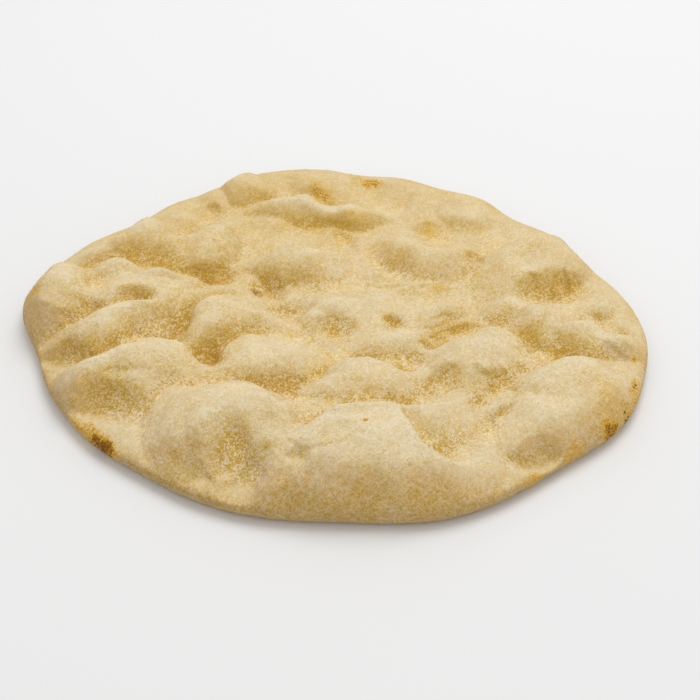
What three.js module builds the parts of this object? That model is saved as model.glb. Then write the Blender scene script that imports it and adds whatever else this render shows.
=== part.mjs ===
import * as THREE from 'three';

// Pinsa crust: a hand-pressed oval flatbread base with a blistered, dimpled top.
// Millimetres, +Z up. Origin: middle of the flat underside. +X along the length.

// Driving sizes
const LENGTH = 298;      // overall oval length, along X
const WIDTH = 261;       // overall oval width, along Y
const SHEET = 12;        // dough thickness where there is no blister
const EDGE_Z = 6;        // height of the rim's widest line above the underside
const RIM_W = 16;        // width over which the rim rounds up into the top
const RIM_POWER = 2.2;   // fullness of the rim's rounding
const FOOT_INSET = 5;    // how far the flat underside stays inside the widest line
const THIN = 6.5;        // least thickness below a dimple
const BLISTER_POWER = 1.15; // fullness of a blister's dome
const DIMPLE_POWER = 2;    // softness of a dimple or small lump
const JOIN_POWER = 9;      // how sharply neighbouring blisters meet in a crease

// Mesh fineness
const CELLS = 60;        // cells across the top, both ways (a multiple of 4)
const CROWD = 1.3;       // how much the rings of cells crowd towards the rim
const FOOT_STEPS = 3;    // facets around the lower edge

// Waviness of the hand-pressed outline: [waves around, cosine part, sine part],
// each a share of the plain oval's radius.
const WAVES = [
  [0, -0.03, 0],
  [1, 0.0139, -0.0269],
  [2, -0.0106, -0.0289],
  [3, -0.0054, -0.0162],
  [4, 0.0193, -0.0065],
  [5, -0.0074, 0.0036],
  [6, 0.0064, -0.014],
  [7, 0.0023, 0.0028],
  [8, -0.0032, -0.002],
  [9, -0.003, 0.0042],
  [10, 0.0038, -0.0026],
  [11, 0.0024, 0.0011],
  [12, 0.0017, -0.001],
  [13, 0.0012, -0.0007],
  [14, 0.0032, -0.0002],
  [15, 0, 0.002],
  [16, 0.0009, 0.0006],
  [17, -0.003, 0.0026],
  [18, -0.0026, -0.0017],
  [19, 0.0002, -0.0012],
  [20, 0, 0.0003],
  [21, -0.0002, -0.0007],
  [22, 0.0003, -0.0001],
];

// Slow drift that keeps blisters from being true ellipses:
// [waves per mm along X, along Y, phase, shift in mm]
const DRIFT_X = [
  [0.12, 0.065, 1.21, 1.7],
  [-0.085, 0.19, 2.24, 1.1],
  [0.27, -0.205, 1.68, 0.6],
];
const DRIFT_Y = [
  [-0.07, 0.125, 5.66, 1.7],
  [0.205, 0.08, 5.66, 1.1],
  [0.18, 0.3, 3.63, 0.6],
];

// Blisters that join like a crowd of domes: [x, y, half length, half width, turn in degrees, height]
const BLISTERS = [
  [-44.6, 100.9, 13.7, 12.9, -88, 9.3],
  [-5.8, 80, 40.4, 10.5, -6, 10.4],
  [70, 78.2, 15.9, 15.3, 90, 5.3],
  [-90.9, 53.7, 22.1, 20.8, 25, 13.3],
  [-67.9, 46.1, 22.5, 18.7, 11, 12.3],
  [47.7, 42.6, 28.4, 21.6, -23, 8.9],
  [-17.8, 33.3, 27.9, 15.4, 2, 10.6],
  [100.8, 32.2, 42, 24.1, 43, 10.5],
  [-102.4, 22.7, 18.4, 12.5, 4, 11.8],
  [-84.5, 18.6, 16.7, 12, -1, 11.8],
  [-72.9, 14.3, 19.6, 15.2, 84, 6],
  [-96.1, 5.1, 36.7, 24, 2, 12.8],
  [-128.2, 4, 29, 25, 85, 17.7],
  [0, 1, 12.7, 11.8, -86, 4.1],
  [121.2, 0.2, 16.2, 9.8, 23, 4.3],
  [84, -1, 13.3, 12.3, -90, 6.1],
  [53.6, -2.6, 15.3, 9.2, 17, 3.7],
  [-11.4, -6.9, 19.2, 10.7, -13, 3.7],
  [-52, -11.5, 30.9, 26.4, 90, 11.9],
  [-34.8, -15.6, 23.3, 20.9, 0, 9.1],
  [-98.2, -16.8, 36.6, 13.9, 26, 13.8],
  [20.2, -19.6, 16.1, 13.2, -1, 1.6],
  [112.8, -22, 22.4, 20.3, -2, 9.3],
  [94.7, -22.1, 18, 17.8, -90, 9],
  [110.8, -22.4, 16.9, 12, 0, 11],
  [-113.1, -25.1, 16.5, 14.5, 2, 9.6],
  [28.9, -27.7, 20.2, 13.6, 10, 5.6],
  [131.9, -28.4, 14, 12, -20, 7.1],
  [72.6, -29.4, 19.9, 11.1, 1, 12.7],
  [37.6, -30.7, 14.7, 14.1, -90, 3],
  [-28.5, -37.4, 23.6, 21.8, 90, 10.3],
  [71.8, -38.5, 30.7, 25, 7, 12.6],
  [-30.6, -41, 31.8, 22.6, 8, 8.7],
  [64.5, -43.9, 29.4, 25.5, 20, 11.4],
  [-82, -45, 36.1, 26.6, 20, 12.5],
  [17.8, -52.6, 30, 16.3, 0, 10],
  [-105.3, -53.8, 19.9, 17.5, -1, 11.2],
  [105.7, -56.7, 30.6, 18.6, 26, 12.4],
  [17.8, -59.6, 41.9, 15.7, 16, 11],
  [114, -62.1, 26.8, 20.4, 26, 9.6],
  [50.8, -67.5, 19.2, 13.3, 5, 4.3],
  [75.7, -70.8, 16.7, 10.7, 25, 4.3],
  [98.3, -78.2, 33.7, 21.6, 26, 10.1],
  [-45.4, -82, 38.7, 31.5, 7, 17.2],
  [49.1, -82.2, 19.7, 16.3, 0, 8.9],
  [12.1, -87.9, 36, 14, 2, 19.3],
  [12.1, -101.9, 64.9, 38.5, -4, 19.8],
  [86.5, -120.4, 13.5, 9.5, 1, 5.7],
];

// Finger dimples (below zero) and small lumps (above zero), laid over the blisters:
// [x, y, half length, half width, turn in degrees, rise]
const DIMPLES = [
  [-11.5, 109.4, 15.5, 13.7, 18, 2.6],
  [-16.1, 108.9, 15.6, 13.8, 17, 3.1],
  [19.5, 106.3, 11, 9.9, 17, -1.7],
  [-59.6, 95.9, 15.2, 13.6, 18, 3.3],
  [28, 94.7, 20, 17.2, 18, -4.1],
  [-4.8, 94.4, 18.7, 9, 1, -3.3],
  [-11.9, 93.5, 14.9, 13.5, 18, 2.2],
  [-4.1, 83.4, 15.1, 11.7, 17, -4],
  [-1.4, 81.2, 15.1, 13.8, 17, -3.1],
  [70.7, 80.3, 15.2, 13.7, 17, -2.6],
  [-64.6, 79.3, 10.9, 9.8, 17, -2.1],
  [17.6, 70.5, 22.5, 16.7, 19, -2.2],
  [-33.4, 67.7, 11.3, 10, 18, 3.3],
  [69.1, 66.6, 14.7, 8.3, 13, -3.4],
  [-13.1, 66.1, 14.8, 13.6, 17, -2.1],
  [-52.9, 62, 19.9, 19.7, 18, 4.2],
  [5.7, 59, 10.8, 10, 18, -3.6],
  [50.6, 55.9, 18.9, 17.2, -72, -5.9],
  [-71.6, 55.3, 25.8, 18.2, -73, -4.2],
  [3.5, 47.9, 14, 12.9, 18, -2.5],
  [-109.3, 45.6, 21, 16.5, 18, 1.8],
  [-70.1, 44.8, 8.7, 7.6, 2, -2.4],
  [-106.8, 43.6, 14.9, 13.4, 17, 1.8],
  [-112.8, 40.5, 14, 12.5, 16, 3.6],
  [-74.7, 36.9, 17.1, 10.7, 21, -4.1],
  [32.4, 35.5, 24.6, 9.8, -45, -5.5],
  [99.8, 32.6, 13.8, 12.3, 16, -2.9],
  [-56.6, 26.1, 11.9, 9.6, -2, -6.3],
  [-9.4, 24.3, 14.8, 10.1, 20, 3.6],
  [22.8, 19.8, 14.8, 13.5, 17, -2.3],
  [-31.2, 16.9, 11.8, 9.3, -4, -5.3],
  [106.1, 11.5, 24.6, 11.5, 1, -4.7],
  [-106.8, 11.2, 10.8, 9.6, 19, -2.9],
  [116.5, 2, 11, 10, 17, -2.7],
  [-32.5, 1.4, 15.1, 13.5, 18, -2.6],
  [16.4, -0.4, 20.7, 19.9, 17, 2.9],
  [-71.4, -0.7, 15, 13.4, 17, 3.3],
  [-20.1, -3, 15, 14.7, -73, -5.9],
  [-91.8, -3.5, 10.6, 8.7, -1, -4.6],
  [98.8, -7.4, 21.5, 17.7, 20, 3.3],
  [-113.5, -8.3, 10, 8, -2, -2.6],
  [-80, -8.5, 10.9, 9.4, 19, 2],
  [28.7, -10.5, 7.2, 7.2, -89, -3.9],
  [-76.5, -14.4, 13.9, 13.2, 18, -4.3],
  [3.9, -15.8, 13.1, 9.1, 19, -5],
  [94, -15.8, 15, 13.4, 17, 3],
  [-28.2, -19.6, 14.6, 13.4, 18, -2.6],
  [64.3, -21, 14.3, 11.6, 19, -3.7],
  [-18.4, -22.1, 19.3, 18.7, -72, -2.7],
  [133, -24.5, 11, 9.8, 17, -1.5],
  [49.7, -24.5, 13, 10.5, -90, -2.9],
  [66.3, -25.5, 15.4, 14.3, 17, -3.7],
  [-58.2, -27, 15.3, 13.6, 15, 3.1],
  [-26.2, -32.8, 15.7, 13.9, 17, -3],
  [-122.9, -35.5, 18.3, 5.4, -14, -4.4],
  [91.5, -38.5, 10.8, 10, 17, -3],
  [-57.6, -39.9, 11.2, 10, -1, -6.4],
  [-95.3, -44.6, 16.1, 14.6, 18, 4.6],
  [38.6, -44.7, 10.9, 10.1, 17, -3],
  [2.6, -53.8, 20, 18.4, 18, 2.8],
  [-19.5, -57.2, 14.3, 9.6, -5, -4],
  [104.9, -57.7, 14.8, 13.1, 17, -2.8],
  [46.8, -57.9, 14.2, 10.4, 17, -3.7],
  [-95.9, -69.5, 24, 11.2, 1, -5.2],
  [54.9, -73.2, 15.5, 13.7, 17, 1.8],
  [-19.7, -81, 14.8, 13.5, 19, 2.4],
  [-3.8, -82, 15, 13.1, 18, -2.3],
  [42.4, -83.7, 14.6, 14.1, 17, 2.4],
  [-23.5, -86.8, 15.3, 13.5, 18, 2],
  [46.9, -86.9, 15.2, 13.3, 16, 3.1],
  [-27.6, -87.7, 24.5, 15.8, 19, 5.3],
  [-10.6, -88.5, 13.6, 10.5, 25, -4.3],
  [-49.8, -95.7, 11.3, 9.2, 18, 2.6],
  [27.4, -97.2, 19.6, 13, 17, 0.9],
  [52.5, -100.4, 19.3, 13.3, 12, -6.4],
  [89.7, -101.1, 18.8, 10.2, 1, -5.4],
  [-29, -102.1, 10.7, 10.7, 17, 3.4],
  [-42, -103.2, 11.6, 10.4, 17, -4.9],
  [4.7, -106, 17.4, 5.6, 17, -1],
  [-12.7, -113.9, 6, 5.2, 17, -2.4],
  [-33, -115.5, 15.4, 12.1, -64, -6.1],
];

const RAD = Math.PI / 180;

// Plain oval radius at an angle.
function oval(angle) {
  const a = LENGTH / 2;
  const b = WIDTH / 2;
  return (a * b) / Math.hypot(b * Math.cos(angle), a * Math.sin(angle));
}

// Outline radius at an angle.
function reach(angle) {
  let share = 1;
  for (const [k, c, s] of WAVES) share += c * Math.cos(k * angle) + s * Math.sin(k * angle);
  return oval(angle) * share;
}

// Outline radius and the cosine of the outline's slant at an angle.
function rimAt(angle) {
  const r = reach(angle);
  const step = 0.01;
  const slope = (reach(angle + step) - reach(angle - step)) / (2 * step);
  return { r, slant: r / Math.hypot(r, slope) };
}

function drift(rows, x, y) {
  let sum = 0;
  for (const [kx, ky, phase, amount] of rows) sum += amount * Math.sin(kx * x + ky * y + phase);
  return sum;
}

// Height of one dome of the given fullness, zero outside its ellipse.
function dome([cx, cy, rx, ry, turn, height], x, y, power) {
  const c = Math.cos(turn * RAD);
  const s = Math.sin(turn * RAD);
  const dx = x - cx;
  const dy = y - cy;
  const u = (dx * c + dy * s) / rx;
  const v = (dy * c - dx * s) / ry;
  const d2 = u * u + v * v;
  return d2 < 1 ? height * Math.pow(1 - d2, power) : 0;
}

// Height of the crumb's top before the rim rounds it off.
function crown(x, y) {
  const px = x + drift(DRIFT_X, x, y);
  const py = y + drift(DRIFT_Y, x, y);
  let joined = 0;
  for (const row of BLISTERS) joined += Math.pow(dome(row, px, py, BLISTER_POWER), JOIN_POWER);
  let laid = 0;
  for (const row of DIMPLES) laid += dome(row, px, py, DIMPLE_POWER);
  return Math.max(SHEET + Math.pow(joined, 1 / JOIN_POWER) + laid, THIN);
}

// Height of the finished top surface.
function topZ(x, y) {
  const { r, slant } = rimAt(Math.atan2(y, x));
  const inward = Math.max((r - Math.hypot(x, y)) * slant, 0);
  const t = Math.min(inward / RIM_W, 1);
  const rise = Math.sqrt(Math.max(1 - Math.pow(1 - t, RIM_POWER), 0));
  return EDGE_Z + (crown(x, y) - EDGE_Z) * rise;
}

// A point of the square (-1..1, -1..1) carried onto the unit disc.
function disc(a, b) {
  if (a === 0 && b === 0) return { rho: 0, angle: 0 };
  const wide = Math.abs(a) >= Math.abs(b);
  const rho = wide ? Math.abs(a) : Math.abs(b);
  let angle = wide ? (Math.PI / 4) * (b / a) : Math.PI / 2 - (Math.PI / 4) * (a / b);
  if (wide ? a < 0 : b < 0) angle += Math.PI;
  return { rho, angle };
}

// Index of the k-th grid vertex met when walking counter-clockwise around the square's border.
function borderVertex(k, n) {
  const side = Math.floor(k / n);
  const along = k % n;
  const row = n + 1;
  if (side === 0) return (n - along) * row + n;      // +X side, upwards
  if (side === 1) return n - along;                  // +Y side, towards -X
  if (side === 2) return along * row;                // -X side, downwards
  return n * row + along;                            // -Y side, towards +X
}

// The grid of a flat square plate laid over the plan, with a height for each vertex.
// Each cell is cut along the diagonal that lies closer to the surface at the cell's middle.
function plate(n, shrink, height) {
  const grid = new THREE.PlaneGeometry(2, 2, n, n);
  const p = grid.attributes.position;
  const points = [];
  for (let i = 0; i < p.count; i++) {
    const { rho, angle } = disc(p.getX(i), p.getY(i));
    const share = 1 - Math.pow(1 - Math.min(rho, 1), CROWD);
    const r = (reach(angle) - shrink) * share;
    const x = r * Math.cos(angle);
    const y = r * Math.sin(angle);
    points.push([x, y, rho > 0.9999 ? height(x, y, true) : height(x, y, false)]);
  }
  const cells = grid.index.array;
  const faces = [];
  for (let i = 0; i < cells.length; i += 6) {
    const [a, b, d, , c] = cells.slice(i, i + 5);
    const [pa, pb, pc, pd] = [a, b, c, d].map((k) => points[k]);
    const middle = height((pa[0] + pb[0] + pc[0] + pd[0]) / 4, (pa[1] + pb[1] + pc[1] + pd[1]) / 4, false);
    const across = Math.abs((pa[2] + pc[2]) / 2 - middle);
    const along = Math.abs((pb[2] + pd[2]) / 2 - middle);
    if (across < along) faces.push(a, b, c, a, c, d);
    else faces.push(a, b, d, b, c, d);
  }
  return { points, faces };
}

function crustGeometry() {
  const position = [];
  const index = [];
  const push = (pt) => position.push(...pt) / 3 - 1;

  // Top
  const top = plate(CELLS, 0, (x, y, onRim) => (onRim ? EDGE_Z : topZ(x, y)));
  top.points.forEach(push);
  index.push(...top.faces);

  // Rounded lower edge, ring by ring down to the underside
  const around = 4 * CELLS;
  let ring = [];
  for (let k = 0; k < around; k++) ring.push(borderVertex(k, CELLS));
  const angles = ring.map((i) => Math.atan2(top.points[i][1], top.points[i][0]));
  for (let step = 1; step <= FOOT_STEPS; step++) {
    const bend = (step / FOOT_STEPS) * (Math.PI / 2);
    const z = step === FOOT_STEPS ? 0 : EDGE_Z * (1 - Math.sin(bend));
    const inset = FOOT_INSET * (1 - Math.cos(bend));
    const next = angles.map((angle) => {
      const r = reach(angle) - inset;
      return push([r * Math.cos(angle), r * Math.sin(angle), z]);
    });
    for (let k = 0; k < around; k++) {
      const m = (k + 1) % around;
      index.push(ring[k], next[k], next[m], ring[k], next[m], ring[m]);
    }
    ring = next;
  }

  // Flat underside: a coarser plate, stitched to the lower edge four steps to one
  const coarse = CELLS / 4;
  const under = plate(coarse, FOOT_INSET + 9, () => 0);
  const first = position.length / 3;
  under.points.forEach(push);
  for (let i = 0; i < under.faces.length; i += 3) {
    index.push(first + under.faces[i], first + under.faces[i + 2], first + under.faces[i + 1]);
  }
  for (let k = 0; k < CELLS; k++) {
    const here = first + borderVertex(k, coarse);
    const there = first + borderVertex((k + 1) % CELLS, coarse);
    for (let q = 0; q < 4; q++) {
      const inner = q < 2 ? here : there;
      index.push(inner, ring[(4 * k + q + 1) % around], ring[4 * k + q]);
    }
    index.push(here, there, ring[4 * k + 2]);
  }

  const geometry = new THREE.BufferGeometry();
  geometry.setAttribute('position', new THREE.Float32BufferAttribute(position, 3));
  geometry.setIndex(index);
  geometry.computeBoundingBox();
  const box = geometry.boundingBox;
  geometry.translate(-(box.min.x + box.max.x) / 2, -(box.min.y + box.max.y) / 2, -box.min.z);
  geometry.computeVertexNormals();
  return geometry;
}

const crumb = new THREE.MeshStandardMaterial({ name: 'baked_dough', color: 0xd9bf8a, roughness: 0.9, metalness: 0 });
const crust = new THREE.Mesh(crustGeometry(), crumb);
crust.name = 'pinsa_crust';

const part = new THREE.Group();
part.name = 'pinsa';
part.add(crust);

export default part;
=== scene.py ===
import math
import bpy
import numpy as np
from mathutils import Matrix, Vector


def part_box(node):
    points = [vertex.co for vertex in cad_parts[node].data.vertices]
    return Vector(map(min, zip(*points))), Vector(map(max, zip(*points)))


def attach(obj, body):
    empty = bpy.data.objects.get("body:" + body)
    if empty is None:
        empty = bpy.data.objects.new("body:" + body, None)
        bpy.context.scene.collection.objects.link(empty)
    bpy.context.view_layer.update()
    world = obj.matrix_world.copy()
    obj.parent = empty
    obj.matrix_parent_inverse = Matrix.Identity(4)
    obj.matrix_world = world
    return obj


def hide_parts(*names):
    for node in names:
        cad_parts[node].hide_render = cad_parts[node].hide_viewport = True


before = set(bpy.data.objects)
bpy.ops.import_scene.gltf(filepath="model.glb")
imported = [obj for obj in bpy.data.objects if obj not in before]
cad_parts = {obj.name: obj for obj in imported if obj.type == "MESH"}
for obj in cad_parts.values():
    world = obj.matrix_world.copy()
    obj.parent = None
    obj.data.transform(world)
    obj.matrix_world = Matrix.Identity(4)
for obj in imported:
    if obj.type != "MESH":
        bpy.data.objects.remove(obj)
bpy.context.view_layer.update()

MM = 0.001

# ---------------------------------------------------------------- crust shape
# The same sizes and functions as the solid, in millimetres.
LENGTH, WIDTH = 298, 261
SHEET, EDGE_Z, RIM_W, RIM_POWER = 12.0, 6.0, 16.0, 2.2
FOOT_INSET, THIN = 5.0, 6.5
BLISTER_POWER, DIMPLE_POWER, JOIN_POWER = 1.15, 2.0, 9.0

WAVES = [
    (0, -0.03, 0),
    (1, 0.0139, -0.0269),
    (2, -0.0106, -0.0289),
    (3, -0.0054, -0.0162),
    (4, 0.0193, -0.0065),
    (5, -0.0074, 0.0036),
    (6, 0.0064, -0.014),
    (7, 0.0023, 0.0028),
    (8, -0.0032, -0.002),
    (9, -0.003, 0.0042),
    (10, 0.0038, -0.0026),
    (11, 0.0024, 0.0011),
    (12, 0.0017, -0.001),
    (13, 0.0012, -0.0007),
    (14, 0.0032, -0.0002),
    (15, 0, 0.002),
    (16, 0.0009, 0.0006),
    (17, -0.003, 0.0026),
    (18, -0.0026, -0.0017),
    (19, 0.0002, -0.0012),
    (20, 0, 0.0003),
    (21, -0.0002, -0.0007),
    (22, 0.0003, -0.0001),
]
DRIFT_X = [
    (0.12, 0.065, 1.21, 1.7),
    (-0.085, 0.19, 2.24, 1.1),
    (0.27, -0.205, 1.68, 0.6),
]
DRIFT_Y = [
    (-0.07, 0.125, 5.66, 1.7),
    (0.205, 0.08, 5.66, 1.1),
    (0.18, 0.3, 3.63, 0.6),
]
BLISTERS = [
    (-44.6, 100.9, 13.7, 12.9, -88, 9.3),
    (-5.8, 80, 40.4, 10.5, -6, 10.4),
    (70, 78.2, 15.9, 15.3, 90, 5.3),
    (-90.9, 53.7, 22.1, 20.8, 25, 13.3),
    (-67.9, 46.1, 22.5, 18.7, 11, 12.3),
    (47.7, 42.6, 28.4, 21.6, -23, 8.9),
    (-17.8, 33.3, 27.9, 15.4, 2, 10.6),
    (100.8, 32.2, 42, 24.1, 43, 10.5),
    (-102.4, 22.7, 18.4, 12.5, 4, 11.8),
    (-84.5, 18.6, 16.7, 12, -1, 11.8),
    (-72.9, 14.3, 19.6, 15.2, 84, 6),
    (-96.1, 5.1, 36.7, 24, 2, 12.8),
    (-128.2, 4, 29, 25, 85, 17.7),
    (0, 1, 12.7, 11.8, -86, 4.1),
    (121.2, 0.2, 16.2, 9.8, 23, 4.3),
    (84, -1, 13.3, 12.3, -90, 6.1),
    (53.6, -2.6, 15.3, 9.2, 17, 3.7),
    (-11.4, -6.9, 19.2, 10.7, -13, 3.7),
    (-52, -11.5, 30.9, 26.4, 90, 11.9),
    (-34.8, -15.6, 23.3, 20.9, 0, 9.1),
    (-98.2, -16.8, 36.6, 13.9, 26, 13.8),
    (20.2, -19.6, 16.1, 13.2, -1, 1.6),
    (112.8, -22, 22.4, 20.3, -2, 9.3),
    (94.7, -22.1, 18, 17.8, -90, 9),
    (110.8, -22.4, 16.9, 12, 0, 11),
    (-113.1, -25.1, 16.5, 14.5, 2, 9.6),
    (28.9, -27.7, 20.2, 13.6, 10, 5.6),
    (131.9, -28.4, 14, 12, -20, 7.1),
    (72.6, -29.4, 19.9, 11.1, 1, 12.7),
    (37.6, -30.7, 14.7, 14.1, -90, 3),
    (-28.5, -37.4, 23.6, 21.8, 90, 10.3),
    (71.8, -38.5, 30.7, 25, 7, 12.6),
    (-30.6, -41, 31.8, 22.6, 8, 8.7),
    (64.5, -43.9, 29.4, 25.5, 20, 11.4),
    (-82, -45, 36.1, 26.6, 20, 12.5),
    (17.8, -52.6, 30, 16.3, 0, 10),
    (-105.3, -53.8, 19.9, 17.5, -1, 11.2),
    (105.7, -56.7, 30.6, 18.6, 26, 12.4),
    (17.8, -59.6, 41.9, 15.7, 16, 11),
    (114, -62.1, 26.8, 20.4, 26, 9.6),
    (50.8, -67.5, 19.2, 13.3, 5, 4.3),
    (75.7, -70.8, 16.7, 10.7, 25, 4.3),
    (98.3, -78.2, 33.7, 21.6, 26, 10.1),
    (-45.4, -82, 38.7, 31.5, 7, 17.2),
    (49.1, -82.2, 19.7, 16.3, 0, 8.9),
    (12.1, -87.9, 36, 14, 2, 19.3),
    (12.1, -101.9, 64.9, 38.5, -4, 19.8),
    (86.5, -120.4, 13.5, 9.5, 1, 5.7),
]
DIMPLES = [
    (-11.5, 109.4, 15.5, 13.7, 18, 2.6),
    (-16.1, 108.9, 15.6, 13.8, 17, 3.1),
    (19.5, 106.3, 11, 9.9, 17, -1.7),
    (-59.6, 95.9, 15.2, 13.6, 18, 3.3),
    (28, 94.7, 20, 17.2, 18, -4.1),
    (-4.8, 94.4, 18.7, 9, 1, -3.3),
    (-11.9, 93.5, 14.9, 13.5, 18, 2.2),
    (-4.1, 83.4, 15.1, 11.7, 17, -4),
    (-1.4, 81.2, 15.1, 13.8, 17, -3.1),
    (70.7, 80.3, 15.2, 13.7, 17, -2.6),
    (-64.6, 79.3, 10.9, 9.8, 17, -2.1),
    (17.6, 70.5, 22.5, 16.7, 19, -2.2),
    (-33.4, 67.7, 11.3, 10, 18, 3.3),
    (69.1, 66.6, 14.7, 8.3, 13, -3.4),
    (-13.1, 66.1, 14.8, 13.6, 17, -2.1),
    (-52.9, 62, 19.9, 19.7, 18, 4.2),
    (5.7, 59, 10.8, 10, 18, -3.6),
    (50.6, 55.9, 18.9, 17.2, -72, -5.9),
    (-71.6, 55.3, 25.8, 18.2, -73, -4.2),
    (3.5, 47.9, 14, 12.9, 18, -2.5),
    (-109.3, 45.6, 21, 16.5, 18, 1.8),
    (-70.1, 44.8, 8.7, 7.6, 2, -2.4),
    (-106.8, 43.6, 14.9, 13.4, 17, 1.8),
    (-112.8, 40.5, 14, 12.5, 16, 3.6),
    (-74.7, 36.9, 17.1, 10.7, 21, -4.1),
    (32.4, 35.5, 24.6, 9.8, -45, -5.5),
    (99.8, 32.6, 13.8, 12.3, 16, -2.9),
    (-56.6, 26.1, 11.9, 9.6, -2, -6.3),
    (-9.4, 24.3, 14.8, 10.1, 20, 3.6),
    (22.8, 19.8, 14.8, 13.5, 17, -2.3),
    (-31.2, 16.9, 11.8, 9.3, -4, -5.3),
    (106.1, 11.5, 24.6, 11.5, 1, -4.7),
    (-106.8, 11.2, 10.8, 9.6, 19, -2.9),
    (116.5, 2, 11, 10, 17, -2.7),
    (-32.5, 1.4, 15.1, 13.5, 18, -2.6),
    (16.4, -0.4, 20.7, 19.9, 17, 2.9),
    (-71.4, -0.7, 15, 13.4, 17, 3.3),
    (-20.1, -3, 15, 14.7, -73, -5.9),
    (-91.8, -3.5, 10.6, 8.7, -1, -4.6),
    (98.8, -7.4, 21.5, 17.7, 20, 3.3),
    (-113.5, -8.3, 10, 8, -2, -2.6),
    (-80, -8.5, 10.9, 9.4, 19, 2),
    (28.7, -10.5, 7.2, 7.2, -89, -3.9),
    (-76.5, -14.4, 13.9, 13.2, 18, -4.3),
    (3.9, -15.8, 13.1, 9.1, 19, -5),
    (94, -15.8, 15, 13.4, 17, 3),
    (-28.2, -19.6, 14.6, 13.4, 18, -2.6),
    (64.3, -21, 14.3, 11.6, 19, -3.7),
    (-18.4, -22.1, 19.3, 18.7, -72, -2.7),
    (133, -24.5, 11, 9.8, 17, -1.5),
    (49.7, -24.5, 13, 10.5, -90, -2.9),
    (66.3, -25.5, 15.4, 14.3, 17, -3.7),
    (-58.2, -27, 15.3, 13.6, 15, 3.1),
    (-26.2, -32.8, 15.7, 13.9, 17, -3),
    (-122.9, -35.5, 18.3, 5.4, -14, -4.4),
    (91.5, -38.5, 10.8, 10, 17, -3),
    (-57.6, -39.9, 11.2, 10, -1, -6.4),
    (-95.3, -44.6, 16.1, 14.6, 18, 4.6),
    (38.6, -44.7, 10.9, 10.1, 17, -3),
    (2.6, -53.8, 20, 18.4, 18, 2.8),
    (-19.5, -57.2, 14.3, 9.6, -5, -4),
    (104.9, -57.7, 14.8, 13.1, 17, -2.8),
    (46.8, -57.9, 14.2, 10.4, 17, -3.7),
    (-95.9, -69.5, 24, 11.2, 1, -5.2),
    (54.9, -73.2, 15.5, 13.7, 17, 1.8),
    (-19.7, -81, 14.8, 13.5, 19, 2.4),
    (-3.8, -82, 15, 13.1, 18, -2.3),
    (42.4, -83.7, 14.6, 14.1, 17, 2.4),
    (-23.5, -86.8, 15.3, 13.5, 18, 2),
    (46.9, -86.9, 15.2, 13.3, 16, 3.1),
    (-27.6, -87.7, 24.5, 15.8, 19, 5.3),
    (-10.6, -88.5, 13.6, 10.5, 25, -4.3),
    (-49.8, -95.7, 11.3, 9.2, 18, 2.6),
    (27.4, -97.2, 19.6, 13, 17, 0.9),
    (52.5, -100.4, 19.3, 13.3, 12, -6.4),
    (89.7, -101.1, 18.8, 10.2, 1, -5.4),
    (-29, -102.1, 10.7, 10.7, 17, 3.4),
    (-42, -103.2, 11.6, 10.4, 17, -4.9),
    (4.7, -106, 17.4, 5.6, 17, -1),
    (-12.7, -113.9, 6, 5.2, 17, -2.4),
    (-33, -115.5, 15.4, 12.1, -64, -6.1),
]


def oval(a):
    return (LENGTH * WIDTH / 4) / np.hypot(WIDTH / 2 * np.cos(a), LENGTH / 2 * np.sin(a))


def reach(a):
    share = np.ones_like(a)
    for k, c, s in WAVES:
        share = share + c * np.cos(k * a) + s * np.sin(k * a)
    return oval(a) * share


def inward(x, y):
    a = np.arctan2(y, x)
    r = reach(a)
    slope = (reach(a + 0.01) - reach(a - 0.01)) / 0.02
    return np.maximum((r - np.hypot(x, y)) * r / np.hypot(r, slope), 0.0)


def drift(rows, x, y):
    return sum(m * np.sin(kx * x + ky * y + p) for kx, ky, p, m in rows)


def dome(row, x, y, power):
    cx, cy, rx, ry, turn, h = row
    c, s = math.cos(math.radians(turn)), math.sin(math.radians(turn))
    dx, dy = x - cx, y - cy
    d2 = ((dx * c + dy * s) / rx) ** 2 + ((dy * c - dx * s) / ry) ** 2
    return h * np.maximum(1 - d2, 0.0) ** power


def crown(x, y):
    px, py = x + drift(DRIFT_X, x, y), y + drift(DRIFT_Y, x, y)
    joined = sum(dome(row, px, py, BLISTER_POWER) ** JOIN_POWER for row in BLISTERS)
    laid = sum(dome(row, px, py, DIMPLE_POWER) for row in DIMPLES)
    return np.maximum(SHEET + joined ** (1 / JOIN_POWER) + laid, THIN)


def rise(inw):
    t = np.minimum(inw / RIM_W, 1.0)
    return np.sqrt(np.maximum(1 - (1 - t) ** RIM_POWER, 0.0))


def top_z(x, y):
    return EDGE_Z + (crown(x, y) - EDGE_Z) * rise(inward(x, y))


# ---------------------------------------------------------------- fine relief
def lattice(ix, iy, iz, seed):
    h = (ix * 374761393 + iy * 668265263 + iz * 1440662683 + seed * 974711) & 0xFFFFFFFF
    h = ((h ^ (h >> 13)) * 1274126177) & 0xFFFFFFFF
    return ((h ^ (h >> 16)) & 0xFFFFFF) / float(0x7FFFFF) - 1.0


def noise(x, y, z, size, seed):
    """Smooth value noise, -1 to 1, with cells of the given size."""
    p = [np.asarray(q, float) / size for q in (x, y, z)]
    i = [np.floor(q).astype(np.int64) for q in p]
    f = [q - k for q, k in zip(p, i)]
    f = [q * q * q * (q * (q * 6 - 15) + 10) for q in f]
    total = 0.0
    for a in (0, 1):
        for b in (0, 1):
            for c in (0, 1):
                w = (f[0] if a else 1 - f[0]) * (f[1] if b else 1 - f[1]) * (f[2] if c else 1 - f[2])
                total = total + w * lattice(i[0] + a, i[1] + b, i[2] + c, seed)
    return total


def smooth(a, b, v):
    t = np.clip((v - a) / (b - a), 0.0, 1.0)
    return t * t * (3 - 2 * t)


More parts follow.
